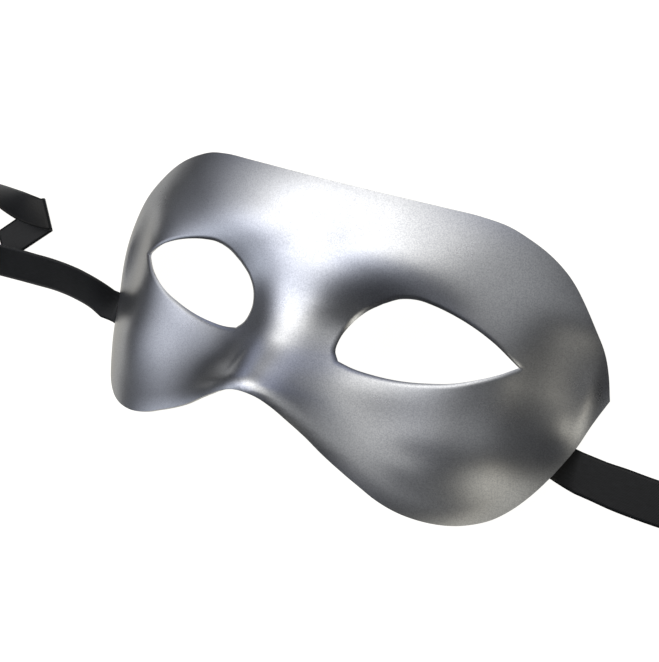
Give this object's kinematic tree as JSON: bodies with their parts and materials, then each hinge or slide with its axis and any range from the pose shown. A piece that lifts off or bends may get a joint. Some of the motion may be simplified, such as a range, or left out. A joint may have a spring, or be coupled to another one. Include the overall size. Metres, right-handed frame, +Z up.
{
  "type": "masquerade mask",
  "caption": "Plain half mask for a masquerade: a thin curved shell with a soft nose ridge, brows and cheeks, open almond eye holes, and a black ribbon tie coming out from behind each side.",
  "frame": {"origin": "centre of the whole object's base, ribbons included, on the surface it lies on", "axes": "+X to the viewer's right, along the ribbons, +Y towards the forehead, +Z up out of the face"},
  "size_m": [0.2968, 0.0848, 0.0403],
  "materials": {
    "silver_lacquer": "moulded plastic sprayed with a satin metallic silver lacquer",
    "black_satin": "black woven satin ribbon with a low sheen"
  },
  "bodies": {
    "root": {"mask_shell": "silver_lacquer", "ribbon_left": "black_satin", "ribbon_right": "black_satin"}
  },
  "joints": []
}
